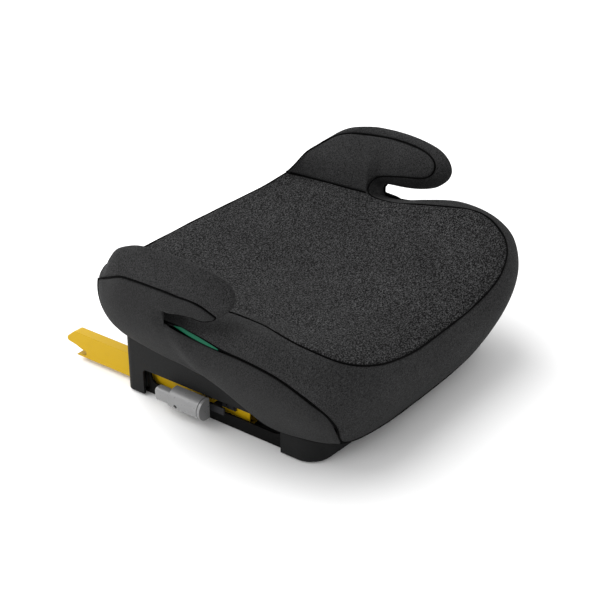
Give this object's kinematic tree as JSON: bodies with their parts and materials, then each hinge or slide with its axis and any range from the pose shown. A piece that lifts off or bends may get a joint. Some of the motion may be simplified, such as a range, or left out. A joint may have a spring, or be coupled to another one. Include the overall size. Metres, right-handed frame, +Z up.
{
  "type": "booster seat",
  "caption": "Backless child booster seat with dished padded seat, forward horn armrests with belt guides, and sliding rigid anchor arms with latches and release handles.",
  "frame": {"origin": "middle of the object's box, on the floor, with the arms fully out", "axes": "+Z up, -Y the front that the child faces, +X the child's left"},
  "size_m": [0.428, 0.404, 0.212],
  "materials": {
    "housing_plastic": "fine moulded texture",
    "tray_plastic": "fine moulded texture",
    "screw_steel": "zinc plated",
    "pad_rubber": "matt",
    "shell_plastic": "moulded",
    "seat_fabric": "coarse heather weave",
    "cover_fabric": "heather weave",
    "side_fabric": "smooth heather weave",
    "armrest_fabric": "heather weave",
    "clip_plastic": "moulded",
    "guide_plastic": "moulded acetal",
    "belt_green": "satin moulded",
    "arm_yellow": "satin powder coat",
    "pin_steel": "turned",
    "handle_grey": "satin moulded",
    "bracket_steel": "black coated",
    "spring_steel": "drawn wire",
    "hook_steel": "hardened, dark",
    "rod_steel": "plain"
  },
  "bodies": {
    "root": {"base_housing": "housing_plastic", "base_tray": "tray_plastic", "base_screws": "screw_steel", "anti_slip_pad_front": "pad_rubber", "anti_slip_pad_rear": "pad_rubber", "seat_shell": "shell_plastic", "seat_cushion": "seat_fabric", "front_bolster": "cover_fabric", "cover_clips": "clip_plastic", "guide_rail_left": "guide_plastic", "guide_block_left": "guide_plastic", "stop_buffer_left": "pad_rubber", "armrest_core_left": "shell_plastic", "core_screws_left": "screw_steel", "side_bolster_left": "side_fabric", "belt_guide_left": "belt_green", "armrest_pad_left": "armrest_fabric", "guide_rail_right": "guide_plastic", "guide_block_right": "guide_plastic", "stop_buffer_right": "pad_rubber", "armrest_core_right": "shell_plastic", "core_screws_right": "screw_steel", "side_bolster_right": "side_fabric", "belt_guide_right": "belt_green", "armrest_pad_right": "armrest_fabric"},
    "arm_left": {"isofix_arm_left": "arm_yellow", "hook_pin_left": "pin_steel", "pawl_pin_left": "pin_steel", "stop_pin_left": "pin_steel", "handle_barrel_left": "handle_grey", "handle_cap_left": "handle_grey", "handle_bracket_left": "bracket_steel", "bracket_screws_left": "screw_steel", "button_spring_left": "spring_steel"},
    "hook_left": {"latch_hook_left": "hook_steel"},
    "pawl_left": {"latch_pawl_left": "hook_steel"},
    "button_left": {"release_button_left": "handle_grey", "release_link_left": "rod_steel", "release_rod_left": "rod_steel"},
    "arm_right": {"isofix_arm_right": "arm_yellow", "hook_pin_right": "pin_steel", "pawl_pin_right": "pin_steel", "stop_pin_right": "pin_steel", "handle_barrel_right": "handle_grey", "handle_cap_right": "handle_grey", "handle_bracket_right": "bracket_steel", "bracket_screws_right": "screw_steel", "button_spring_right": "spring_steel"},
    "hook_right": {"latch_hook_right": "hook_steel"},
    "pawl_right": {"latch_pawl_right": "hook_steel"},
    "button_right": {"release_button_right": "handle_grey", "release_link_right": "rod_steel", "release_rod_right": "rod_steel"}
  },
  "joints": [
    {"name": "arm_slide_left", "type": "slide", "parent": "root", "child": "arm_left", "axis": [0, -1, 0], "range_m": [0, 0.066]},
    {"name": "hook_turn_left", "type": "hinge", "parent": "arm_left", "child": "hook_left", "pos_m": [0.14, 0.166, 0.0245], "axis": [-1, 0, 0], "range_deg": [0, 45], "stiffness_Nm_per_rad": 0.02, "springref_deg": -20.05},
    {"name": "button_press_left", "type": "slide", "parent": "arm_left", "child": "button_left", "axis": [0, -1, 0], "range_m": [0, 0.005], "stiffness_N_per_m": 400, "springref_m": -0.01},
    {"name": "pawl_turn_left", "type": "hinge", "parent": "arm_left", "child": "pawl_left", "pos_m": [0.14, 0.14, 0.022], "axis": [-1, 0, 0], "range_deg": [0, 23]},
    {"name": "arm_slide_right", "type": "slide", "parent": "root", "child": "arm_right", "axis": [0, -1, 0], "range_m": [0, 0.066]},
    {"name": "hook_turn_right", "type": "hinge", "parent": "arm_right", "child": "hook_right", "pos_m": [-0.14, 0.166, 0.0245], "axis": [-1, 0, 0], "range_deg": [0, 45], "stiffness_Nm_per_rad": 0.02, "springref_deg": -20.05},
    {"name": "button_press_right", "type": "slide", "parent": "arm_right", "child": "button_right", "axis": [0, -1, 0], "range_m": [0, 0.005], "stiffness_N_per_m": 400, "springref_m": -0.01},
    {"name": "pawl_turn_right", "type": "hinge", "parent": "arm_right", "child": "pawl_right", "pos_m": [-0.14, 0.14, 0.022], "axis": [-1, 0, 0], "range_deg": [0, 23]}
  ],
  "couplings": [
    {"joint": "pawl_turn_left", "follows": "button_press_left", "rad_per_m": 76.92},
    {"joint": "pawl_turn_right", "follows": "button_press_right", "rad_per_m": 76.92}
  ]
}
